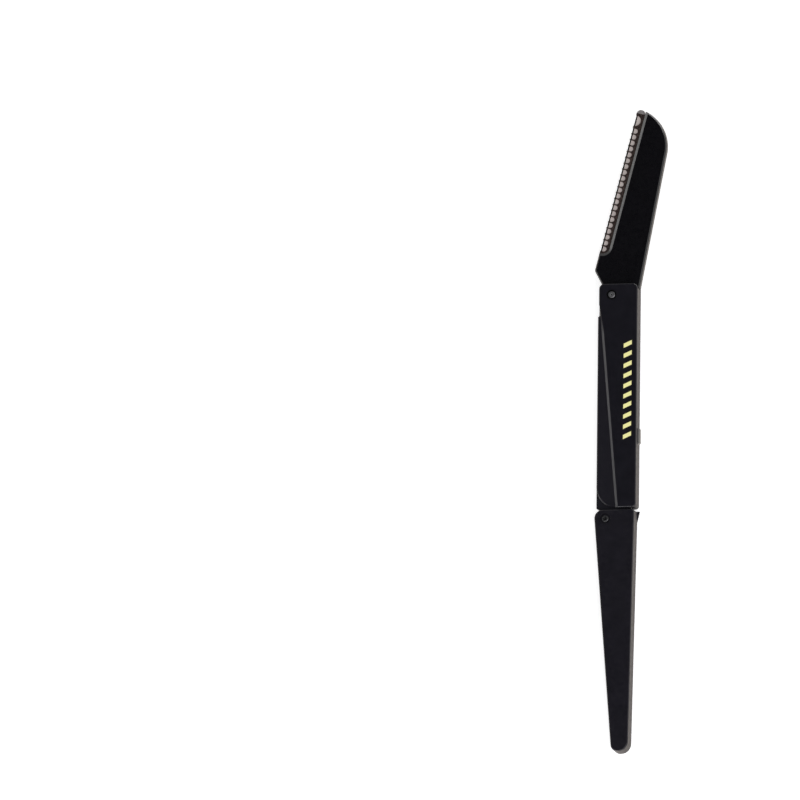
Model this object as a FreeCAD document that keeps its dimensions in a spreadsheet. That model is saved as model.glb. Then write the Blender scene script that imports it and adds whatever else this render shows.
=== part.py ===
import FreeCAD, Part
import math
import os
import re
import Sketcher

# A tri-fold eyebrow razor, lying open and flat on its back, in millimetres and degrees.
# +X is across the razor to its spine side, +Y runs along it to the head, +Z is up through the front face.
# Every moulding is drawn about its own pivot and its own middle plane, and then placed.

SIZES = {
    # Layers of the folded stack, from the head outwards
    "head_thickness": 2.3,
    "head_side_gap": 0.12,
    "liner_wall": 0.45,
    "tail_side_gap": 0.1,
    "tail_wall": 0.45,
    # The two pivots
    "pivot_offset": 1.1,
    "pivot_spacing": 54.75,
    "pin_diameter": 1.6,
    "pin_running_gap": 0.05,
    "pin_end_depth": 0.08,
    "pin_end_chamfer": 0.12,
    "head_pin_dimple": 0.5,
    "tail_pin_dimple": 0.9,
    "pin_dimple_depth": 0.3,
    "head_pin_recess": 2.4,
    "tail_pin_recess": 2.6,
    "pin_recess_depth": 0.28,
    # Middle handle, measured from the tail pivot
    "middle_top": 57.4,
    "middle_bottom": 2.7,
    "spine_face": 7.49,
    "spine_wall": 0.8,
    "spine_top_drop": 1.1,
    "liner_edge": 2.3,
    "liner_corner": 4.95,
    "liner_shoulder": 49.4,
    "pad_edge": 1.97,
    "pad_left_corner": 1.2,
    "pad_right_corner": 1.2,
    "pad_bottom_corner": 0.8,
    "bevel_run": 0.65,
    "bevel_taper": 45.0,
    "bevel_top": 51.9,
    "bevel_top_run": 0.1,
    "bevel_step": 0.5,
    "tang_notch_top": 2.6,
    "tang_notch_length": 2.0,
    "tang_notch_edge": 1.25,
    "tang_low": 2.2,
    "tang_top": 8.0,
    "tang_corner": 1.5,
    "tang_stop_gap": 0.1,
    "spine_nub_low": 18.3,
    "spine_nub_length": 4.2,
    "spine_nub_height": 0.42,
    "spine_nub_width": 1.5,
    # Tail handle, measured from its pivot
    "tail_top": 2.15,
    "tail_edge": 2.62,
    "tail_tip_width": 4.11,
    "tail_back": 7.12,
    "tail_back_lean": 1.04,
    "tail_reach": 56.85,
    "tail_tip_round": 1.7,
    "tail_tip_back_round": 2.4,
    "tail_corner_round": 2.0,
    "tail_back_corner": 0.5,
    "tail_spine_wall": 0.8,
    "tail_boss_radius": 2.0,
    "tail_boss_gap": 0.1,
    "tail_lug_height": 0.6,
    "tail_lug_length": 2.6,
    "fold_gap": 0.1,
    "fold_slope": 0.0075,
    # Head, measured from its pivot along and across the cutting edge
    "edge_lean": 14.5,
    "edge_offset": 5.98,
    "strip_width": 2.23,
    "strip_low": 9.4,
    "strip_length": 36.2,
    "strip_round": 1.75,
    "holder_side": 5.85,
    "lobe_low": 4.85,
    "lobe_round": 0.9,
    "notch_across": 3.4,
    "notch_along": 2.15,
    "head_back": 6.23,
    "head_back_lean": 3.88,
    "tip_drop": 8.9,
    "tip_radius": 9.6,
    "heel_radius": 2.4,
    "heel_foot_turn": 39.0,
    "heel_foot_inset": 0.1,
    "head_stop_gap": 0.06,
    "heel_wall_gap": 0.25,
    "lip_bevel": 0.72,
    "lip_bevel_drop": 0.5,
    # Blade and guard
    "blade_thickness": 0.2,
    "blade_depth": 6.9,
    "blade_root": 1.2,
    "blade_bevel": 0.45,
    "blade_edge_land": 0.02,
    "blade_corner": 5.0,
    "anchor_diameter": 2.0,
    "anchor_inset": 1.8,
    "anchor_first": 6.0,
    "anchor_end": 2.4,
    "guard_leaf": 0.15,
    "guard_nose": 0.08,
    "guard_grip": 0.8,
    "guard_foot": 0.6,
    "window_width": 1.46,
    "window_length": 1.2,
    "window_pitch": 1.48,
    "window_first": 1.21,
    "tip_window_width": 1.5,
    "tip_window_length": 2.6,
    "tip_window_gap": 0.64,
    # Broken edges
    "handle_edge_bevel": 0.2,
    "liner_edge_bevel": 0.25,
    "head_edge_bevel": 0.35,
}

ANCHOR_COUNT = 3
POINT_MATCH = 1e-4
TURNS = {"left": 1, "right": -1}

# Sizes that follow from the driving ones
DERIVED = {
    "channel": "head_thickness + 2 * head_side_gap",
    "liner_thickness": "channel + 2 * liner_wall",
    "tail_channel": "liner_thickness + 2 * tail_side_gap",
    "thickness": "tail_channel + 2 * tail_wall",
    "face": "thickness / 2",
    "liner_face": "liner_thickness / 2",
    "spine_inside": "spine_face - spine_wall",
    "spine_top": "middle_top - spine_top_drop",
    "tail_low_edge": "tail_low_side - tail_tip_width",
    "tail_edge_slope": "(tail_edge + tail_low_edge) / tail_reach",
    "foot_start": "tail_edge + fold_gap",
    "bevel_slope": "tail_edge_slope + fold_slope",
    "tail_inside": "tail_back - tail_spine_wall",
    "tang_side": "tail_inside - tang_stop_gap",
    "tail_low_side": "tail_back - tail_reach * tan(tail_back_lean)",
    "tail_tip_inner_round": "tail_tip_back_round - tail_spine_wall",
    "lip": "edge_offset - strip_width",
    "strip_top": "strip_low + strip_length",
    "tip_start": "strip_top - tip_drop",
    "tip_from": "head_back - tip_start * tan(head_back_lean)",
    "tip_centre_across": "tip_from - tip_radius * cos(head_back_lean)",
    "tip_centre_along": "tip_start - tip_radius * sin(head_back_lean)",
    "tip_rise": "sqrt(tip_radius ^ 2 - (lip + tip_centre_across) ^ 2)",
    "seat": "spine_top - pivot_spacing + head_stop_gap",
    "seat_inner": "spine_inside - pivot_offset - heel_wall_gap",
    "seat_pull": "sin(edge_lean) - cos(edge_lean) * tan(head_back_lean)",
    "seat_scale": "cos(edge_lean) + sin(edge_lean) * tan(head_back_lean)",
    "seat_outer": "(head_back + seat * seat_pull) / seat_scale",
    "seat_outer_across": "seat_outer * cos(edge_lean) - seat * sin(edge_lean)",
    "seat_outer_along": "seat_outer * sin(edge_lean) + seat * cos(edge_lean)",
    "seat_inner_across": "seat_inner * cos(edge_lean) - seat * sin(edge_lean)",
    "seat_inner_along": "seat_inner * sin(edge_lean) + seat * cos(edge_lean)",
    "heel_foot_across": "(heel_radius - heel_foot_inset) * cos(heel_foot_turn)",
    "heel_foot_drop": "(heel_radius - heel_foot_inset) * sin(heel_foot_turn)",
    "blade_edge": "edge_offset - guard_nose",
    "blade_back": "blade_edge - blade_depth",
    "blade_low": "strip_low - blade_root",
    "blade_top": "strip_top - strip_width / 2",
    "guard_back": "lip - guard_grip",
    "guard_low": "strip_low - guard_foot",
    "guard_thickness": "blade_thickness + 2 * guard_leaf",
    "anchor_run": "blade_top - blade_corner - anchor_end - strip_low - anchor_first",
    "tip_window_low": "blade_top - tip_window_gap - tip_window_length",
    "window_run": "tip_window_low - strip_low - window_first - window_length / 2",
    "window_steps": "floor(window_run / window_pitch)",
    "last_window": "strip_low + window_first + window_steps * window_pitch + window_length / 2",
    "tip_window": "last_window + tip_window_gap + tip_window_length / 2",
    "outside": "holder_side + head_edge_bevel",
    "beyond": "middle_top + tail_reach",
    "pin_bore": "pin_diameter + 2 * pin_running_gap",
}


def formula(text):
    """Writes a formula on named sizes as an expression on the sheet's cells."""
    def cell(word):
        name = word.group()
        if name in DERIVED:
            return "(" + formula(DERIVED[name]) + ")"
        return "Sizes." + name if name in SIZES else name
    return re.sub(r"[a-z][a-z_]*", cell, text)


def value(text):
    """The number that a formula on named sizes gives now."""
    found = sheet.evalExpression(formula(text))
    return float(getattr(found, "Value", found))


def new_body(label):
    body = doc.addObject("PartDesign::Body", label)
    body.Label = label
    return body


def new_sketch(body, name, level, role="XY_Plane"):
    """An empty sketch on one of the body's origin planes, lifted to a level."""
    sketch = body.newObject("Sketcher::SketchObject", f"{body.Name}_{name}")
    plane = [plane for plane in body.Origin.OriginFeatures if plane.Role == role][0]
    sketch.AttachmentSupport = [(plane, "")]
    sketch.MapMode = "FlatFace"
    sketch.setExpression("AttachmentOffset.Base.z", formula(level))
    return sketch


def fix(sketch, kind, text, *places):
    """Adds a constraint whose size is bound to a formula."""
    number = sketch.addConstraint(Sketcher.Constraint(kind, *places, value(text)))
    sketch.setExpression(f"Constraints[{number}]", formula(text))


def draw_circle(sketch, across, along, diameter):
    centre = FreeCAD.Vector(value(across), value(along), 0)
    circle = Part.Circle(centre, FreeCAD.Vector(0, 0, 1), value(diameter) / 2)
    number = sketch.addGeometry(circle)
    fix(sketch, "DistanceX", across, -1, 1, number, 3)
    fix(sketch, "DistanceY", along, -1, 1, number, 3)
    fix(sketch, "Diameter", diameter, number)


def draw_arc(sketch, start, end, radius, turn):
    """The short arc from start to end; turn is 1 to the left and -1 to the right."""
    chord = end - start
    middle = (start + end) * 0.5
    side = FreeCAD.Vector(-chord.y, chord.x, 0).normalize()
    rise = math.sqrt(max(value(radius) ** 2 - (chord.Length / 2) ** 2, 0))
    centre = middle + side * (turn * rise)
    ends = (start, end) if turn > 0 else (end, start)
    angles = [math.atan2(point.y - centre.y, point.x - centre.x) for point in ends]
    circle = Part.Circle(centre, FreeCAD.Vector(0, 0, 1), value(radius))
    number = sketch.addGeometry(Part.ArcOfCircle(circle, *angles))
    fix(sketch, "Radius", radius, number)
    return (number, 1, 2) if turn > 0 else (number, 2, 1)


def draw_outline(sketch, steps):
    """A closed outline. A step is a corner (across, along), a rounded corner (across, along, radius),
    or (turn, radius) for an arc from the corner before it to the corner after it."""
    corners = []
    arcs = {}
    for step in steps:
        if step[0] in TURNS:
            arcs[len(corners) - 1] = step
        else:
            corners.append(step)
    points = [FreeCAD.Vector(value(corner[0]), value(corner[1]), 0) for corner in corners]
    reached = list(points)
    left = list(points)
    for index, corner in enumerate(corners):
        if len(corner) == 3:
            back = (points[index - 1] - points[index]).normalize()
            ahead = (points[(index + 1) % len(points)] - points[index]).normalize()
            reach = value(corner[2]) / math.tan(back.getAngle(ahead) / 2)
            reached[index] = points[index] + back * reach
            left[index] = points[index] + ahead * reach
    sides = []
    for index, start in enumerate(left):
        end = reached[(index + 1) % len(points)]
        if index in arcs:
            turn, radius = arcs[index]
            sides.append(draw_arc(sketch, start, end, radius, TURNS[turn]))
        else:
            sides.append((sketch.addGeometry(Part.LineSegment(start, end)), 1, 2))
    for index, corner in enumerate(corners):
        before, before_start, before_end = sides[index - 1]
        after, after_start, after_end = sides[index]
        if len(corner) == 3:
            way_in = points[index] - points[index - 1]
            way_out = points[(index + 1) % len(points)] - points[index]
            turn = 1 if way_in.cross(way_out).z > 0 else -1
            arc, arc_start, arc_end = draw_arc(sketch, reached[index], left[index], corner[2], turn)
            sketch.addConstraint(Sketcher.Constraint("Tangent", before, before_end, arc, arc_start))
            sketch.addConstraint(Sketcher.Constraint("Tangent", arc, arc_end, after, after_start))
            mark = sketch.addGeometry(Part.Point(points[index]), True)
            sketch.addConstraint(Sketcher.Constraint("PointOnObject", mark, 1, before))
            sketch.addConstraint(Sketcher.Constraint("PointOnObject", mark, 1, after))
            fixed = (mark, 1)
        else:
            sketch.addConstraint(Sketcher.Constraint("Coincident", before, before_end, after, after_start))
            fixed = (after, after_start)
        fix(sketch, "DistanceX", corner[0], -1, 1, *fixed)
        fix(sketch, "DistanceY", corner[1], -1, 1, *fixed)


def extrude(body, name, kind, thickness, level, steps=None, circles=()):
    """Adds or cuts an even layer of material, half of it on each side of its level."""
    sketch = new_sketch(body, f"{name}_sketch", level)
    if steps:
        draw_outline(sketch, steps)
    for circle in circles:
        draw_circle(sketch, *circle)
    feature = body.newObject(f"PartDesign::{kind}", f"{body.Name}_{name}")
    feature.Profile = sketch
    feature.SideType = "Symmetric"
    feature.setExpression("Length", formula(thickness))
    doc.recompute()
    return feature


def add(body, name, thickness, steps=None, circles=(), level="0"):
    return extrude(body, name, "Pad", thickness, level, steps, circles)


def cut(body, name, thickness, steps=None, circles=(), level="0"):
    before = body.Shape.Volume
    feature = extrude(body, name, "Pocket", thickness, level, steps, circles)
    assert body.Shape.Volume < before, f"{feature.Name} cuts nothing"
    return feature


def edges_where(feature, wanted, spared=None):
    """The names of the feature's edges whose end points pass a test and don't pass the other."""
    names = []
    for number, edge in enumerate(feature.Shape.Edges, start=1):
        points = [vertex.Point for vertex in edge.Vertexes]
        if wanted(points) and not (spared and spared(points)):
            names.append(f"Edge{number}")
    return names


def bevel_edges(body, name, size, wanted, spared=None, drop=None):
    """Bevels the edges of the body that pass a test, with an own drop down the side where one is given."""
    base = body.Tip
    names = edges_where(base, wanted, spared)
    assert names, f"{name} finds no edge"
    bevel = body.newObject("PartDesign::Chamfer", f"{body.Name}_{name}")
    bevel.Base = (base, names)
    bevel.setExpression("Size", formula(drop or size))
    if drop:
        bevel.ChamferType = "Two distances"
        bevel.setExpression("Size2", formula(size))
    doc.recompute()


def along_faces(half_thickness):
    """A test for edges that lie in the front or in the back face of a piece."""
    level = value(half_thickness)
    return lambda points: any(
        all(abs(point.z - side * level) < POINT_MATCH for point in points) for side in (1, -1)
    )


def between(*corners):
    """A test for edges that run between points straight above or below the corners."""
    places = [(value(across), value(along)) for across, along in corners]
    return lambda points: all(
        any(math.hypot(point.x - x, point.y - y) < POINT_MATCH for x, y in places) for point in points
    )


def mirrored(body, feature):
    """Repeats a feature on the other side of the body's middle plane."""
    mirror = body.newObject("PartDesign::Mirrored", f"{feature.Name}_mirrored")
    plane = [plane for plane in body.Origin.OriginFeatures if plane.Role == "XY_Plane"][0]
    mirror.Originals = [feature]
    mirror.MirrorPlane = (plane, [""])
    body.Tip = mirror
    doc.recompute()


def place(body, across, along, lean="0"):
    """Puts a piece drawn about its pivot where it belongs, leaning to the right by an angle."""
    body.setExpression("Placement.Base.x", formula(f"{across} - spine_face / 2"))
    body.setExpression("Placement.Base.y", formula(f"{along} - (middle_top + middle_bottom) / 2"))
    body.setExpression("Placement.Base.z", formula("face"))
    body.setExpression("Placement.Rotation.Angle", formula(f"0 - {lean}"))


def pin_recesses(body, across, along, diameter):
    """A shallow round recess about a pin's end, in the front and in the back."""
    for side, level in (("front", "face"), ("back", "-face")):
        circle = (across, along, diameter)
        cut(body, f"{side}_recess", "2 * pin_recess_depth", circles=[circle], level=level)


def pad_outline(run, top_run):
    """The middle handle's pad, with its slanted side moved in by one run below and another at its top."""
    return [
        (f"foot_start - middle_bottom * bevel_slope + {run}", "middle_bottom"),
        ("spine_face", "middle_bottom", "pad_bottom_corner"),
        ("spine_face", "middle_top", "pad_right_corner"),
        ("-pad_edge", "middle_top", "pad_left_corner"),
        ("-pad_edge", "bevel_top + bevel_step"),
        (f"foot_start - bevel_top * bevel_slope + {top_run}", "bevel_top"),
        (f"foot_start - bevel_taper * bevel_slope + {run}", "bevel_taper"),
    ]


def middle_handle():
    """The moulded channel: two thin liners, raised pads on them, a spine, a stop and a tang."""
    body = new_body("middle_handle")
    add(body, "liners", "liner_thickness", [
        ("-liner_edge", "middle_bottom", "liner_corner"),
        ("spine_face", "middle_bottom", "pad_bottom_corner"),
        ("spine_face", "middle_top", "pad_right_corner"),
        ("-pad_edge", "middle_top", "pad_left_corner"),
        ("-pad_edge", "liner_shoulder + liner_edge - pad_edge"),
        ("-liner_edge", "liner_shoulder"),
    ])
    bevel_edges(body, "liner_bevel", "liner_edge_bevel", along_faces("liner_face"))
    add(body, "pad_roots", "liner_thickness", pad_outline("0", "0"))
    sections = []
    slants = {"pad_foot": ("liner_face", "0", "0"), "pad_face": ("face", "bevel_run", "bevel_top_run")}
    for name, (level, run, top_run) in slants.items():
        sketch = new_sketch(body, name, level)
        draw_outline(sketch, pad_outline(run, top_run))
        sections.append(sketch)
    pads = body.newObject("PartDesign::AdditiveLoft", "middle_handle_pads")
    pads.Profile = sections[0]
    pads.Sections = sections[1:]
    pads.Ruled = True
    doc.recompute()
    mirrored(body, pads)
    slant = between(
        ("foot_start - middle_bottom * bevel_slope + bevel_run", "middle_bottom"),
        ("foot_start - bevel_taper * bevel_slope + bevel_run", "bevel_taper"),
        ("foot_start - bevel_top * bevel_slope + bevel_top_run", "bevel_top"),
        ("-pad_edge", "bevel_top + bevel_step"),
    )
    bevel_edges(body, "edge_bevel", "handle_edge_bevel", along_faces("face"), slant)
    cut(body, "channel", "channel", [
        ("-beyond", "tang_top"),
        ("spine_inside", "tang_top"),
        ("spine_inside", "spine_top"),
        ("beyond", "spine_top"),
        ("beyond", "beyond"),
        ("-beyond", "beyond"),
    ])
    add(body, "tang", "channel", [
        ("-liner_edge", "middle_bottom + liner_corner"),
        ("-liner_edge", "tang_notch_top"),
        ("-tang_notch_edge", "tang_notch_top - tang_notch_length / 4"),
        ("-tang_notch_edge", "tang_notch_top - tang_notch_length / 2"),
        ("-liner_edge", "tang_notch_top - tang_notch_length"),
        ("-liner_edge", "-tang_low", "tang_corner"),
        ("tang_side", "-tang_low", "tang_corner"),
        ("tang_side", "middle_bottom + liner_corner"),
    ])
    cut(body, "tail_pin_bore", "thickness", circles=[("0", "0", "pin_bore")])
    cut(body, "head_pin_bore", "thickness", circles=[("pivot_offset", "pivot_spacing", "pin_diameter")])
    pin_recesses(body, "pivot_offset", "pivot_spacing", "head_pin_recess")
    add(body, "spine_nub", "spine_nub_width", [
        ("spine_face - spine_wall / 2", "spine_nub_low"),
        ("spine_face", "spine_nub_low"),
        ("spine_face + spine_nub_height", "spine_nub_low + spine_nub_height"),
        ("spine_face + spine_nub_height", "spine_nub_low + spine_nub_length - spine_nub_height"),
        ("spine_face", "spine_nub_low + spine_nub_length"),
        ("spine_face - spine_wall / 2", "spine_nub_low + spine_nub_length"),
    ], level="-spine_nub_width / 2")
    place(body, "0", "0")
    return body


def tail_handle():
    """The outer moulded channel, open on one side, that folds over the middle handle."""
    body = new_body("tail_handle")
    add(body, "outline", "thickness", [
        ("tail_low_edge", "-tail_reach", "tail_tip_round"),
        ("tail_low_side", "-tail_reach", "tail_tip_back_round"),
        ("tail_back + tail_top * tan(tail_back_lean)", "tail_top", "tail_back_corner"),
        ("-tail_edge - tail_top * tail_edge_slope", "tail_top", "tail_corner_round"),
    ])
    bevel_edges(body, "edge_bevel", "handle_edge_bevel", along_faces("face"))
    cut(body, "channel", "tail_channel", [
        ("-beyond", "tail_spine_wall - tail_reach"),
        ("tail_low_side - tail_spine_wall", "tail_spine_wall - tail_reach", "tail_tip_inner_round"),
        ("tail_inside + beyond * tan(tail_back_lean)", "beyond"),
        ("-beyond", "beyond"),
    ])
    add(body, "bosses", "tail_channel", circles=[("0", "0", "2 * tail_boss_radius")])
    cut(body, "tang_gap", "channel + 2 * tail_boss_gap", circles=[("0", "0", "2 * tail_boss_radius")])
    cut(body, "pin_bore", "thickness", circles=[("0", "0", "pin_diameter")])
    pin_recesses(body, "0", "0", "tail_pin_recess")
    add(body, "lug", "tail_wall", [
        ("tail_inside + tail_spine_wall / 2", "tail_top - tail_lug_length"),
        ("tail_back + (tail_top - tail_lug_length) * tan(tail_back_lean)", "tail_top - tail_lug_length"),
        ("tail_back + tail_lug_height", "tail_top"),
        ("tail_inside + tail_spine_wall / 2", "tail_top"),
    ], level="tail_wall / 2 - face")
    place(body, "0", "0")
    return body


def blade_outline(reach):
    """The blade's flat outline, with its cutting side reaching out to a given distance from the pivot."""
    return [
        (f"-({reach})", "blade_low"),
        ("-blade_back", "blade_low"),
        ("-blade_back", "blade_top - blade_corner"),
        ("guard_nose - lip + guard_grip", "blade_top"),
        (f"-({reach})", "blade_top"),
    ]


def blade_anchors():
    """The round holes through which the head's plastic grips the blade."""
    spacing = f"anchor_run / {ANCHOR_COUNT - 1}"
    places = [f"strip_low + anchor_first + {index} * {spacing}" for index in range(ANCHOR_COUNT)]
    return [("-blade_back - anchor_inset", along, "anchor_diameter") for along in places]


def blade_holder():
    """The moulded head, cast round the blade, with a lobe, a heel and a seat that stops it on the spine."""
    body = new_body("blade_holder")
    add(body, "outline", "head_thickness", [
        ("-heel_foot_across", "-heel_foot_drop"),
        ("-notch_across", "notch_along"),
        ("-holder_side", "lobe_low", "lobe_round"),
        ("-holder_side", "strip_low"),
        ("-lip", "strip_low", "strip_round"),
        ("-lip", "tip_centre_along + tip_rise"),
        ("right", "tip_radius"),
        ("tip_from", "tip_start"),
        ("seat_outer_across", "seat_outer_along"),
        ("seat_inner_across", "seat_inner_along"),
        ("heel_foot_across", "-heel_foot_drop"),
    ])
    add(body, "heel", "head_thickness", circles=[("0", "0", "2 * heel_radius")])
    bevelled_lip = value("lip - lip_bevel") - POINT_MATCH
    bevelled_low = value("strip_low - lip_bevel") - POINT_MATCH
    faces = along_faces("head_thickness / 2")

    def beside_strip(points):
        return all(point.x < -bevelled_lip and point.y > bevelled_low for point in points)

    def on_lip(points):
        return faces(points) and beside_strip(points)

    bevel_edges(body, "lip_bevel", "lip_bevel", on_lip, drop="lip_bevel_drop")
    bevel_edges(body, "edge_bevel", "head_edge_bevel", faces, beside_strip)
    cut(body, "guard_slot", "guard_thickness", [
        ("-outside", "guard_low"),
        ("-guard_back", "guard_low"),
        ("-guard_back", "beyond"),
        ("-outside", "beyond"),
    ])
    cut(body, "blade_slot", "blade_thickness", blade_outline("outside"), blade_anchors())
    cut(body, "pin_bore", "thickness", circles=[("0", "0", "pin_bore")])
    place(body, "pivot_offset", "pivot_spacing", "edge_lean")
    return body


def blade():
    """The ground steel strip, with anchor holes along its hidden side."""
    body = new_body("blade")
    add(body, "strip", "blade_thickness", blade_outline("blade_edge"), blade_anchors())
    sketch = new_sketch(body, "grind_sketch", "0", "XZ_Plane")
    for side in ("", "-"):
        draw_outline(sketch, [
            ("-blade_edge - blade_bevel", f"{side}(blade_edge_land / 2)"),
            ("-blade_edge", f"{side}(blade_edge_land / 2)"),
            ("-blade_edge + blade_bevel", f"{side}(blade_thickness / 2)"),
            ("-blade_edge + blade_bevel", f"{side}blade_thickness"),
            ("-blade_edge - blade_bevel", f"{side}blade_thickness"),
        ])
    grind = body.newObject("PartDesign::Pocket", "blade_grind")
    grind.Profile = sketch
    grind.SideType = "Symmetric"
    grind.setExpression("Length", formula("2 * beyond"))
    place(body, "pivot_offset", "pivot_spacing", "edge_lean")
    return body


def window(width, length, middle):
    """A half-round window in the guard, open at the cutting edge."""
    return [
        ("-outside", f"{middle} - {length} / 2"),
        (f"-edge_offset + {width} - {length} / 2", f"{middle} - {length} / 2"),
        ("left", f"{length} / 2"),
        (f"-edge_offset + {width} - {length} / 2", f"{middle} + {length} / 2"),
        ("-outside", f"{middle} + {length} / 2"),
    ]


def blade_guard():
    """The thin steel sleeve folded over the cutting edge, with half-round windows and a rounded tip."""
    body = new_body("blade_guard")
    add(body, "sleeve", "guard_thickness", [
        ("-edge_offset", "guard_low"),
        ("-guard_back", "guard_low"),
        ("-guard_back", "blade_top"),
        ("-lip", "blade_top"),
        ("left", "strip_width / 2"),
        ("-lip - strip_width / 2", "strip_top"),
        ("left", "strip_width / 2"),
        ("-edge_offset", "blade_top"),
    ])
    cut(body, "blade_slot", "blade_thickness", [
        ("-blade_edge", "guard_low - guard_foot"),
        ("0", "guard_low - guard_foot"),
        ("0", "blade_top"),
        ("-blade_edge", "blade_top"),
    ])
    lowest = window("window_width", "window_length", "strip_low + window_first")
    first = cut(body, "window", "thickness", lowest)
    row = body.newObject("PartDesign::LinearPattern", "blade_guard_window_row")
    row.Originals = [first]
    row.Direction = (first.Profile[0], ["V_Axis"])
    row.Mode = "Spacing"
    row.setExpression("Offset", formula("window_pitch"))
    row.setExpression("Occurrences", formula("window_steps + 1"))
    body.Tip = row
    doc.recompute()
    half_moon = window("tip_window_width", "tip_window_length", "(tip_window)")
    cut(body, "tip_window", "thickness", half_moon)
    place(body, "pivot_offset", "pivot_spacing", "edge_lean")
    return body


def pivot_pin(label, across, along, dimple):
    """A plain pin with broken edges and a dimple in each end."""
    body = new_body(label)
    sketch = new_sketch(body, "profile", "0", "XZ_Plane")
    end = "(face - pin_end_depth)"
    draw_outline(sketch, [
        ("0", f"pin_dimple_depth - {end}"),
        (f"{dimple} / 2", f"-{end}"),
        ("pin_diameter / 2 - pin_end_chamfer", f"-{end}"),
        ("pin_diameter / 2", f"pin_end_chamfer - {end}"),
        ("pin_diameter / 2", f"{end} - pin_end_chamfer"),
        ("pin_diameter / 2 - pin_end_chamfer", end),
        (f"{dimple} / 2", end),
        ("0", f"{end} - pin_dimple_depth"),
    ])
    turned = body.newObject("PartDesign::Revolution", f"{label}_turned")
    turned.Profile = sketch
    turned.ReferenceAxis = (sketch, ["V_Axis"])
    place(body, across, along)
    return body


doc = FreeCAD.newDocument("eyebrow_razor")
sheet = doc.addObject("Spreadsheet::Sheet", "Sizes")
for row_number, (alias, number) in enumerate(SIZES.items(), start=1):
    sheet.set(f"A{row_number}", alias.replace("_", " "))
    sheet.set(f"B{row_number}", str(number))
    sheet.setAlias(f"B{row_number}", alias)
doc.recompute()

pieces = [
    middle_handle(),
    tail_handle(),
    blade_holder(),
    blade(),
    blade_guard(),
    pivot_pin("head_pivot_pin", "pivot_offset", "pivot_spacing", "head_pin_dimple"),
    pivot_pin("tail_pivot_pin", "0", "0", "tail_pin_dimple"),
]
doc.recompute()

for item in doc.Objects:
    faults = {"Invalid", "Error"} & set(item.State)
    assert not faults, f"{item.Name} is {faults}"
for piece in pieces:
    shape = piece.Shape
    assert not shape.isNull() and shape.isValid(), f"{piece.Label} has no valid shape"
    assert len(shape.Solids) == 1, f"{piece.Label} is not one solid"

os.makedirs("parts", exist_ok=True)
for piece in pieces:
    piece.Shape.exportStep(f"parts/{piece.Label}.step")
    box = piece.Shape.BoundBox
    extents = f"{box.XLength:.2f} x {box.YLength:.2f} x {box.ZLength:.2f}"
    print(f"{piece.Label}: {piece.Shape.Volume:.2f} mm3, {extents}")
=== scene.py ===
import math

import bmesh
import bpy
from mathutils import Matrix, Vector


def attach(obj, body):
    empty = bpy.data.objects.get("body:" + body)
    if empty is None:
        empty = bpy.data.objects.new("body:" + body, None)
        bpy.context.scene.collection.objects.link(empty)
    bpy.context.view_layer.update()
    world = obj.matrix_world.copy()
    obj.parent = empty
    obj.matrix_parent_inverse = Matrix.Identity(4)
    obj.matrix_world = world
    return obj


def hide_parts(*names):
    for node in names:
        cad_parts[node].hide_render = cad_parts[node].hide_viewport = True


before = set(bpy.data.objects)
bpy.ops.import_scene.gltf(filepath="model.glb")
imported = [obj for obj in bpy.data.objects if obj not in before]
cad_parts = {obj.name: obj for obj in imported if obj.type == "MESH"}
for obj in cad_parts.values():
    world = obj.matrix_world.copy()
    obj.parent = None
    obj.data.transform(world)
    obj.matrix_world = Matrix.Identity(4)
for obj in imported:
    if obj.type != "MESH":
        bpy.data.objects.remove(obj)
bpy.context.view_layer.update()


# Middle handle: the satin black channel that the other two thirds hang on, with a fine grain.
# It is greyer on its liners, with a painted highlight on the nub and painted shade round the pin.
# A row of slanted bars is printed on its front in pale yellow ink, flush with the plastic.
def add_node(tree, kind, sockets=None, **settings):
    """Add a shader node, set its options and fill or link its sockets."""
    node = tree.nodes.new(kind)
    for option, setting in settings.items():
        setattr(node, option, setting)
    for socket, source in (sockets or {}).items():
        if isinstance(source, bpy.types.NodeSocket):
            tree.links.new(source, node.inputs[socket])
        else:
            node.inputs[socket].default_value = source
    return node


def new_material(name):
    """Give a material, its node tree and its shader."""
    material = bpy.data.materials.new(name)
    material.use_nodes = True
    return material, material.node_tree, material.node_tree.nodes["Principled BSDF"]


MILLIMETRE = 0.001


def millimetres(tree, pivot=(0, 0, 0), lean=0):
    """Object coordinates in millimetres about a pivot, turned to lie along a leaning piece."""
    spot = add_node(tree, "ShaderNodeTexCoord").outputs["Object"]
    sockets = {
        "Vector": spot,
        "Location": pivot,
        "Rotation": (0, 0, lean),
        "Scale": (MILLIMETRE, MILLIMETRE, MILLIMETRE),
    }
    return add_node(tree, "ShaderNodeMapping", sockets, vector_type="TEXTURE").outputs["Vector"]


def noise(tree, spot, scale, detail):
    """Soft random mottling, scale in lumps per millimetre."""
    sockets = {"Vector": spot, "Scale": scale, "Detail": detail}
    return add_node(tree, "ShaderNodeTexNoise", sockets).outputs["Fac"]


def spread(tree, amount, low, high, start, end, shape="LINEAR"):
    """Map an amount between low and high to a run from start to end."""
    sockets = {"Value": amount, "From Min": low, "From Max": high, "To Min": start, "To Max": end}
    node = add_node(tree, "ShaderNodeMapRange", sockets, interpolation_type=shape)
    return node.outputs["Result"]


def calculate(tree, operation, first, second=0.0):
    """One step of arithmetic between two numbers or sockets."""
    node = add_node(tree, "ShaderNodeMath", {0: first, 1: second}, operation=operation)
    return node.outputs["Value"]


def blend(tree, amount, first, second):
    """Blend two colours by an amount."""
    node = tree.nodes.new("ShaderNodeMix")
    node.data_type = "RGBA"
    tree.links.new(amount, node.inputs[0])
    for index, colour in ((6, first), (7, second)):
        if isinstance(colour, bpy.types.NodeSocket):
            tree.links.new(colour, node.inputs[index])
        else:
            node.inputs[index].default_value = (*colour, 1)
    return node.outputs[2]


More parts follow.
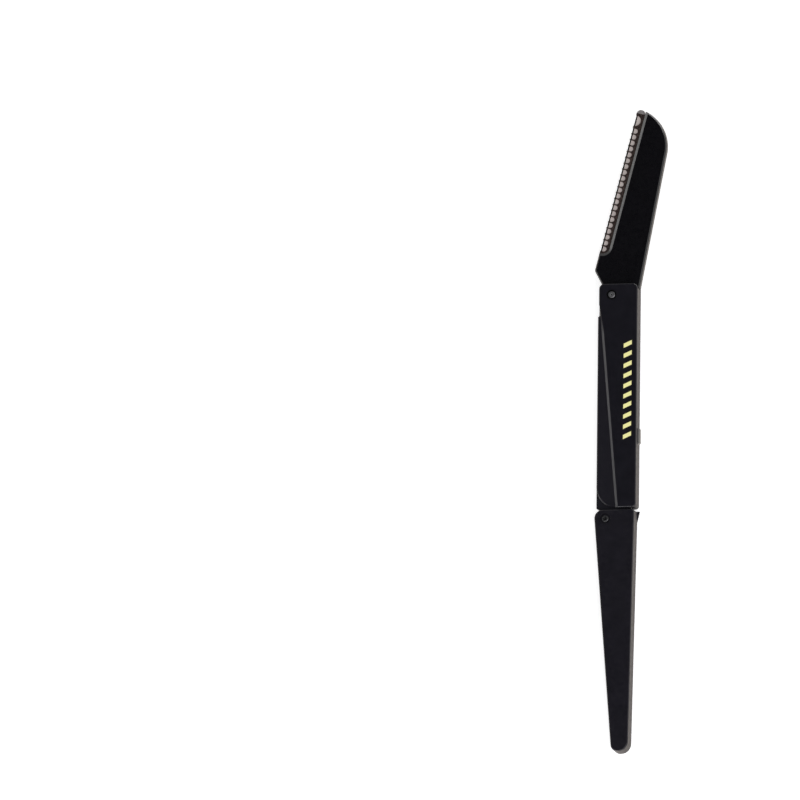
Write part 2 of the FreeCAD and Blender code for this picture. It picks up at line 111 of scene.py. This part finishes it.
def from_axis(tree, spot):
    """How far a spot lies from the upright line through the origin."""
    flatten = add_node(tree, "ShaderNodeVectorMath", {0: spot, 1: (1, 1, 0)}, operation="MULTIPLY")
    across = flatten.outputs["Vector"]
    return add_node(tree, "ShaderNodeVectorMath", {0: across}, operation="LENGTH").outputs["Value"]


def emboss(tree, shader, height, strength, depth):
    """Give a surface a fine relief, depth in metres."""
    sockets = {"Height": height, "Strength": strength, "Distance": depth}
    bump = add_node(tree, "ShaderNodeBump", sockets)
    tree.links.new(bump.outputs["Normal"], shader.inputs["Normal"])


NOISE_RANGE = (0.3, 0.7)
BLOTCH_SCALE, RUB_SCALE, SPARK_SCALE = 0.35, 1.1, 9
SEAM_LEVEL, SEAM_CREST, SEAM_FOOT = 2.27, 0.02, 0.06
GRAIN_DEPTH = 0.00002


def moulded_plastic(name, dark, light, rough, grain, gloss):
    """Black moulded plastic, blotched and finely grained, with a seam half way up."""
    material, tree, shader = new_material(name)
    spot = millimetres(tree)
    blotches = noise(tree, spot, BLOTCH_SCALE, 3)
    colour = blend(tree, spread(tree, blotches, *NOISE_RANGE, 0, 1), dark, light)
    tree.links.new(colour, shader.inputs["Base Color"])
    rubbed = noise(tree, spot, RUB_SCALE, 4)
    tree.links.new(spread(tree, rubbed, *NOISE_RANGE, *rough), shader.inputs["Roughness"])
    shader.inputs["Specular IOR Level"].default_value = gloss
    sparks = noise(tree, spot, SPARK_SCALE, 2)
    level = add_node(tree, "ShaderNodeSeparateXYZ", {"Vector": spot}).outputs["Z"]
    from_seam = calculate(tree, "ABSOLUTE", calculate(tree, "SUBTRACT", level, SEAM_LEVEL))
    seam = spread(tree, from_seam, SEAM_CREST, SEAM_FOOT, 1, 0, "SMOOTHSTEP")
    emboss(tree, shader, calculate(tree, "ADD", sparks, seam), grain, GRAIN_DEPTH)
    return material, tree, shader, spot, colour


JOIN_REACH, EDGE_ROUND = 1e-7, 0.00004
FLAT_ANGLE, CORNER_ANGLE, CREASE_ANGLE = math.radians(0.5), math.radians(28), math.radians(35)


def rounded(node_name, body, material):
    """Show a node with its triangles joined, its sharp edges rounded and its curves smooth."""
    mould = bmesh.new()
    mould.from_mesh(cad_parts[node_name].data)
    bmesh.ops.remove_doubles(mould, verts=mould.verts, dist=JOIN_REACH)
    bmesh.ops.dissolve_limit(mould, angle_limit=FLAT_ANGLE, verts=mould.verts, edges=mould.edges)
    corners = [edge for edge in mould.edges if edge.calc_face_angle(0) > CORNER_ANGLE]
    bmesh.ops.bevel(
        mould,
        geom=corners,
        offset=EDGE_ROUND,
        offset_type="OFFSET",
        affect="EDGES",
        segments=2,
        profile=0.5,
        material=-1,
        clamp_overlap=False,
    )
    for face in mould.faces:
        face.smooth = True
    for edge in mould.edges:
        edge.smooth = edge.calc_face_angle(0) < CREASE_ANGLE
    skin = bpy.data.meshes.new(f"{node_name}_moulding")
    mould.to_mesh(skin)
    mould.free()
    skin.materials.append(material)
    piece = bpy.data.objects.new(f"{node_name}_moulding", skin)
    bpy.context.scene.collection.objects.link(piece)
    shading = piece.modifiers.new("even_faces", "WEIGHTED_NORMAL")
    shading.keep_sharp = True
    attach(piece, body)
    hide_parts(node_name)


def dress(node_name, material):
    """Put one material on a piece of the frame."""
    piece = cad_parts[node_name]
    piece.data.materials.clear()
    piece.data.materials.append(material)


HANDLE_DARK, HANDLE_LIGHT = (0.0046, 0.0041, 0.0074), (0.0068, 0.0062, 0.0104)
HANDLE_ROUGH, HANDLE_GRAIN, HANDLE_GLOSS = (0.32, 0.41), 0.12, 0.33
handle_black, tree, shader, spot, plastic = moulded_plastic(
    "handle_black", HANDLE_DARK, HANDLE_LIGHT, HANDLE_ROUGH, HANDLE_GRAIN, HANDLE_GLOSS
)
BARS_LEFT, BARS_RIGHT = 0.5, 2.48
BARS_BOTTOM, BARS_TOP = -10.8, 14.0
BAR_PITCH, BAR_SHARE, BAR_SLANT = 2.48, 0.42, 0.45
FRONT_LEVEL = 4.5
INK_DEEP, INK_PALE, INK_SCALE = (0.82, 0.76, 0.26), (0.94, 0.92, 0.48), 5
axes = add_node(tree, "ShaderNodeSeparateXYZ", {"Vector": spot}).outputs
slid = calculate(tree, "MULTIPLY", calculate(tree, "SUBTRACT", axes["X"], BARS_LEFT), BAR_SLANT)
along = calculate(tree, "SUBTRACT", calculate(tree, "SUBTRACT", axes["Y"], BARS_BOTTOM), slid)
phase = calculate(tree, "FRACT", calculate(tree, "DIVIDE", along, BAR_PITCH))
ink = calculate(tree, "LESS_THAN", phase, BAR_SHARE)
for side, limit, test in (
    (axes["X"], BARS_LEFT, "GREATER_THAN"),
    (axes["X"], BARS_RIGHT, "LESS_THAN"),
    (along, 0.0, "GREATER_THAN"),
    (along, BARS_TOP - BARS_BOTTOM, "LESS_THAN"),
    (axes["Z"], FRONT_LEVEL, "GREATER_THAN"),
):
    ink = calculate(tree, "MULTIPLY", ink, calculate(tree, test, side, limit))
pale_yellow = blend(tree, noise(tree, spot, INK_SCALE, 3), INK_DEEP, INK_PALE)
LINER_REACH, LINER_SCALE = 1.9, 0.6
LINER_DARK, LINER_LIGHT = (0.0078, 0.0071, 0.0112), (0.0104, 0.0096, 0.0142)
from_seam = calculate(tree, "ABSOLUTE", calculate(tree, "SUBTRACT", axes["Z"], SEAM_LEVEL))
sunken = calculate(tree, "LESS_THAN", from_seam, LINER_REACH)
greyer = blend(tree, noise(tree, spot, LINER_SCALE, 3), LINER_DARK, LINER_LIGHT)
black = blend(tree, sunken, plastic, greyer)
HEAD_PIVOT = (-0.002645, 0.0247, 0.00227)
# The recess round the head pin is painted near-black: painted shade, not a colour of the plastic.
RECESS_RADIUS, RECESS_PAINTED_SHADE = 1.21, (0.0004, 0.0004, 0.0005)
from_pin = from_axis(tree, millimetres(tree, HEAD_PIVOT))
pin_recess_shade = calculate(tree, "LESS_THAN", from_pin, RECESS_RADIUS)
with_recess_shade = blend(tree, pin_recess_shade, black, RECESS_PAINTED_SHADE)
# Everything right of 3.77 mm, at the nub, is painted light grey: a painted highlight on black
# plastic.
NUB_HIGHLIGHT_FROM, NUB_HIGHLIGHT_DARK, NUB_HIGHLIGHT_LIGHT = 3.77, (0.16, 0.154, 0.148), (0.22, 0.212, 0.204)
nub_highlight_mask = calculate(tree, "GREATER_THAN", axes["X"], NUB_HIGHLIGHT_FROM)
painted_nub_highlight = blend(tree, noise(tree, spot, RUB_SCALE, 3), NUB_HIGHLIGHT_DARK, NUB_HIGHLIGHT_LIGHT)
moulded = blend(tree, nub_highlight_mask, with_recess_shade, painted_nub_highlight)
tree.links.new(blend(tree, ink, moulded, pale_yellow), shader.inputs["Base Color"])
rounded("middle_handle", "middle", handle_black)


# Head pin: the light steel pin that the head folds about, pressed into the middle handle.
# Its ends are turned, so fine rings run round its axis, and lie a little below the face.
# The dimple colour is painted shade: near-black where the hollow end of a pin lies in shadow.
DIMPLE_PAINTED_SHADE = (0.012, 0.012, 0.013)
RING_SCALE, RING_WOBBLE, RING_DETAIL = 2.2, 0.6, 2.0
RING_RELIEF, RING_DEPTH = 0.15, 0.00001
PIN_RUB_SCALE, PIN_ROUGH = 3, (0.34, 0.5)


def turned_steel(name, pivot, dark, light, dimple):
    """Steel with the fine rings of a lathe round a pivot, and painted shade in the dimple in the
    middle.
    """
    material, tree, shader = new_material(name)
    spot = millimetres(tree, pivot)
    sockets = {
        "Vector": spot,
        "Scale": RING_SCALE,
        "Distortion": RING_WOBBLE,
        "Detail": RING_DETAIL,
    }
    wave = add_node(tree, "ShaderNodeTexWave", sockets, wave_type="RINGS", rings_direction="Z")
    rings = wave.outputs["Fac"]
    dimple_shade_mask = calculate(tree, "LESS_THAN", from_axis(tree, spot), dimple)
    turned = blend(tree, rings, dark, light)
    tree.links.new(blend(tree, dimple_shade_mask, turned, DIMPLE_PAINTED_SHADE), shader.inputs["Base Color"])
    rubbed = noise(tree, spot, PIN_RUB_SCALE, 3)
    tree.links.new(spread(tree, rubbed, *NOISE_RANGE, *PIN_ROUGH), shader.inputs["Roughness"])
    shader.inputs["Metallic"].default_value = 1
    emboss(tree, shader, rings, RING_RELIEF, RING_DEPTH)
    return material


HEAD_PIN_DARK, HEAD_PIN_LIGHT, HEAD_PIN_DIMPLE = (0.24, 0.24, 0.25), (0.36, 0.36, 0.37), 0.14
head_pin_steel = turned_steel(
    "head_pin_steel", HEAD_PIVOT, HEAD_PIN_DARK, HEAD_PIN_LIGHT, HEAD_PIN_DIMPLE
)
dress("head_pivot_pin", head_pin_steel)


# Blade: the thin stainless strip in the head, with its edge ground to a narrow bevel.
# The flat is lapped bright and matt; the grinding stripes run square to the edge.
EDGE_LEAN = math.radians(-14.5)
EDGE_ACROSS, GROUND_WIDTH = -5.98, 0.46
FLAT_DEEP, FLAT_PALE, EDGE_PAINTED_SHADE = (0.84, 0.76, 0.73), (0.95, 0.87, 0.84), (0.03, 0.028, 0.028)
FLAT_ROUGH = (0.62, 0.72)
STRIPE_STRETCH, STRIPE_SCALE = (0.6, 9, 1), 1.5
STRIPE_RELIEF, STRIPE_DEPTH = 0.1, 0.00001
blade_steel, tree, shader = new_material("blade_steel")
spot = millimetres(tree, HEAD_PIVOT, EDGE_LEAN)
axes = add_node(tree, "ShaderNodeSeparateXYZ", {"Vector": spot}).outputs
stretch = add_node(tree, "ShaderNodeMapping", {"Vector": spot, "Scale": STRIPE_STRETCH})
stripes = noise(tree, stretch.outputs["Vector"], STRIPE_SCALE, 3)
flat = blend(tree, stripes, FLAT_DEEP, FLAT_PALE)
# The strip along the edge is painted near-black steel: painted shade on the ground bevel.
edge_shade_mask = calculate(tree, "LESS_THAN", axes["X"], EDGE_ACROSS + GROUND_WIDTH)
tree.links.new(blend(tree, edge_shade_mask, flat, EDGE_PAINTED_SHADE), shader.inputs["Base Color"])
tree.links.new(spread(tree, stripes, *NOISE_RANGE, *FLAT_ROUGH), shader.inputs["Roughness"])
shader.inputs["Metallic"].default_value = 1
emboss(tree, shader, stripes, STRIPE_RELIEF, STRIPE_DEPTH)
dress("blade", blade_steel)


# Blade guard: the sleeve of etched strip folded over the edge, with a row of half-round windows.
# Its steel is mottled from the etching and painted dark brown as shade; its tip is a painted
# highlight.
ETCH_SHADE_DEEP, ETCH_SHADE_PALE, TIP_PAINTED_HIGHLIGHT = (0.1, 0.072, 0.066), (0.24, 0.175, 0.155), (0.92, 0.87, 0.85)
TIP_HIGHLIGHT_FROM = 44.65
ETCH_SCALE, ETCH_RANGE = 2.6, (0.35, 0.65)
ETCH_RUB_SCALE, ETCH_ROUGH = 6, (0.34, 0.52)
ETCH_RELIEF, ETCH_DEPTH = 0.2, 0.00001
guard_steel, tree, shader = new_material("guard_steel")
spot = millimetres(tree, HEAD_PIVOT, EDGE_LEAN)
axes = add_node(tree, "ShaderNodeSeparateXYZ", {"Vector": spot}).outputs
# The etch mottling is real; the dark brown of the steel is painted shade.
etched = noise(tree, spot, ETCH_SCALE, 4)
shaded_brown = blend(tree, spread(tree, etched, *ETCH_RANGE, 0, 1), ETCH_SHADE_DEEP, ETCH_SHADE_PALE)
# Past 44.65 mm the tip end is painted near-white steel: a painted highlight.
tip_highlight_mask = calculate(tree, "GREATER_THAN", axes["Y"], TIP_HIGHLIGHT_FROM)
tree.links.new(blend(tree, tip_highlight_mask, shaded_brown, TIP_PAINTED_HIGHLIGHT), shader.inputs["Base Color"])
rubbed = noise(tree, spot, ETCH_RUB_SCALE, 3)
tree.links.new(spread(tree, rubbed, *NOISE_RANGE, *ETCH_ROUGH), shader.inputs["Roughness"])
shader.inputs["Metallic"].default_value = 1
emboss(tree, shader, etched, ETCH_RELIEF, ETCH_DEPTH)
dress("blade_guard", guard_steel)


# Blade holder: the head's black moulding, cast round the blade and its guard.
# Its mould was polished, so it is smoother and blacker than the handles; its lip draws a line.
HOLDER_DARK, HOLDER_LIGHT = (0.0012, 0.001, 0.002), (0.002, 0.0017, 0.003)
HOLDER_ROUGH, HOLDER_GRAIN, HOLDER_GLOSS = (0.25, 0.32), 0.08, 0.5
head_black = moulded_plastic(
    "head_black", HOLDER_DARK, HOLDER_LIGHT, HOLDER_ROUGH, HOLDER_GRAIN, HOLDER_GLOSS
)[0]
rounded("blade_holder", "head", head_black)


# Tail handle: the last black channel, which folds over the other two.
# It comes from another mould than the middle handle and is a shade greyer.
TAIL_DARK, TAIL_LIGHT = (0.0044, 0.0037, 0.0072), (0.0068, 0.0058, 0.0104)
TAIL_ROUGH, TAIL_GRAIN, TAIL_GLOSS = (0.34, 0.45), 0.12, 0.4
tail_black = moulded_plastic(
    "tail_black", TAIL_DARK, TAIL_LIGHT, TAIL_ROUGH, TAIL_GRAIN, TAIL_GLOSS
)[0]
rounded("tail_handle", "tail", tail_black)


# Tail pin: the darker steel pin that the tail folds about, pressed into the tail handle.
# It is turned like the head pin, with a wider dimple in each end; painted shade darkens it to a
# rim.
TAIL_PIVOT = (-0.003745, -0.03005, 0.00227)
TAIL_PIN_DARK, TAIL_PIN_LIGHT, TAIL_PIN_DIMPLE = (0.09, 0.09, 0.095), (0.16, 0.16, 0.165), 0.46
tail_pin_steel = turned_steel(
    "tail_pin_steel", TAIL_PIVOT, TAIL_PIN_DARK, TAIL_PIN_LIGHT, TAIL_PIN_DIMPLE
)
dress("tail_pivot_pin", tail_pin_steel)


# Table: a pale matt board that the razor lies on.
# It is lifted to white for the eye, with a faint shadow; reflections show it dimmer and warm.
def seen_directly(tree):
    """One where a ray comes from the eye, a reflection or through glass, and zero elsewhere."""
    path = add_node(tree, "ShaderNodeLightPath").outputs
    pair = calculate(tree, "MAXIMUM", path["Is Camera Ray"], path["Is Glossy Ray"])
    return calculate(tree, "MAXIMUM", pair, path["Is Transmission Ray"])


TABLE_HALF, TABLE_LEVEL, TABLE_LIFT, TABLE_GLINT = 1.5, -0.00005, 0.6, 0.25
TABLE_DEEP, TABLE_PALE, TABLE_WARM = (0.8, 0.8, 0.8), (0.82, 0.82, 0.82), (0.82, 0.73, 0.65)
PAPER_SCALE, TABLE_ROUGH, TABLE_GLOSS = 0.02, 0.9, 0.1
sheet = bmesh.new()
bmesh.ops.create_grid(sheet, x_segments=1, y_segments=1, size=TABLE_HALF)
bmesh.ops.translate(sheet, vec=(0, 0, TABLE_LEVEL), verts=sheet.verts)
board = bpy.data.meshes.new("table")
sheet.to_mesh(board)
sheet.free()
table = bpy.data.objects.new("table", board)
bpy.context.scene.collection.objects.link(table)
table_white, tree, shader = new_material("table_white")
paper = noise(tree, millimetres(tree), PAPER_SCALE, 3)
white = blend(tree, paper, TABLE_DEEP, TABLE_PALE)
to_eye = add_node(tree, "ShaderNodeLightPath").outputs["Is Camera Ray"]
tree.links.new(blend(tree, to_eye, TABLE_WARM, white), shader.inputs["Base Color"])
shader.inputs["Roughness"].default_value = TABLE_ROUGH
shader.inputs["Specular IOR Level"].default_value = TABLE_GLOSS
shader.inputs["Emission Color"].default_value = (1, 1, 1, 1)
glint = calculate(tree, "MULTIPLY", seen_directly(tree), TABLE_GLINT)
lift = spread(tree, to_eye, 0, 1, glint, TABLE_LIFT)
tree.links.new(lift, shader.inputs["Emission Strength"])
board.materials.append(table_white)

# Room: white walls round the table and a dim ceiling, so that the black faces stay black.
# The walls are white for the eye and for reflections, and a weaker, even fill for all the rest.
WALL_WHITE, CEILING_GREY, FILL_GREY = (1, 1, 1), (0.03, 0.03, 0.035), (0.55, 0.55, 0.55)
CEILING_FROM, CEILING_FULL = 0.45, 0.82
room = bpy.data.worlds.new("room")
room.use_nodes = True
bpy.context.scene.world = room
tree = room.node_tree
direction = add_node(tree, "ShaderNodeTexCoord").outputs["Generated"]
height = add_node(tree, "ShaderNodeSeparateXYZ", {"Vector": direction}).outputs["Z"]
ceiling = spread(tree, height, CEILING_FROM, CEILING_FULL, 0, 1, "SMOOTHSTEP")
walls = blend(tree, ceiling, WALL_WHITE, CEILING_GREY)
fill = blend(tree, seen_directly(tree), FILL_GREY, walls)
tree.links.new(fill, tree.nodes["Background"].inputs["Color"])
tree.nodes["Background"].inputs["Strength"].default_value = 1


# Lamps: a wide soft key at the right, and low soft boxes round the table.
# The low boxes draw light lines on the bevels and leave the flat faces dark.
def soft_lamp(name, place, aim, width, height, power):
    """A soft box that faces a point."""
    light = bpy.data.lights.new(name, "AREA")
    light.shape = "RECTANGLE"
    light.size = width
    light.size_y = height
    light.energy = power
    lamp = bpy.data.objects.new(name, light)
    lamp.location = place
    lamp.rotation_euler = (Vector(aim) - Vector(place)).to_track_quat("-Z", "Y").to_euler()
    bpy.context.scene.collection.objects.link(lamp)


soft_lamp("key_lamp", (0.55, -0.5, 0.6), (0, 0, 0), 0.6, 0.6, 4.5)
soft_lamp("left_lamp", (-0.6, 0.02, 0.06), (0, 0.02, 0.03), 1.0, 0.11, 1.2)
soft_lamp("right_lamp", (0.65, 0.05, 0.08), (0, 0.02, 0.03), 1.0, 0.14, 0.3)
soft_lamp("tail_lamp", (-0.15, -0.65, 0.085), (0, -0.05, 0.03), 0.7, 0.16, 2.8)
soft_lamp("head_lamp", (0.35, 0.6, 0.06), (0, 0.03, 0.03), 0.5, 0.11, 1.5)

# Camera: almost straight above the front face, a little from the right and from the tail end.
# A very long lens keeps the sides parallel, and the razor stands to the right of the middle.
PICTURE_SIDE = 0.19256
LENS, SENSOR, SIGHT = 1500, 36, 100
VIEW_FROM = (0.2, -0.174, 0.964)
ROLL = math.radians(0.6)
RAZOR_RIGHT, RAZOR_DOWN, FACE_LEVEL = 0.04932, 0.02852, 0.00446
back = Vector(VIEW_FROM).normalized()
up = (Vector((0, 1, 0)) - back * back.y).normalized()
turn = Matrix.Rotation(ROLL, 3, back) @ Matrix((up.cross(back), up, back)).transposed()
tail_face = Vector((TAIL_PIVOT[0], TAIL_PIVOT[1], FACE_LEVEL))
aim = tail_face - turn.col[0] * RAZOR_RIGHT + turn.col[1] * RAZOR_DOWN
lens = bpy.data.cameras.new("camera")
lens.lens = LENS
lens.sensor_width = SENSOR
lens.clip_end = SIGHT
camera = bpy.data.objects.new("camera", lens)
camera.matrix_world = Matrix.Translation(aim + back * PICTURE_SIDE / SENSOR * LENS) @ turn.to_4x4()
bpy.context.scene.collection.objects.link(camera)
bpy.context.scene.camera = camera
bpy.context.scene.view_settings.view_transform = "Standard"
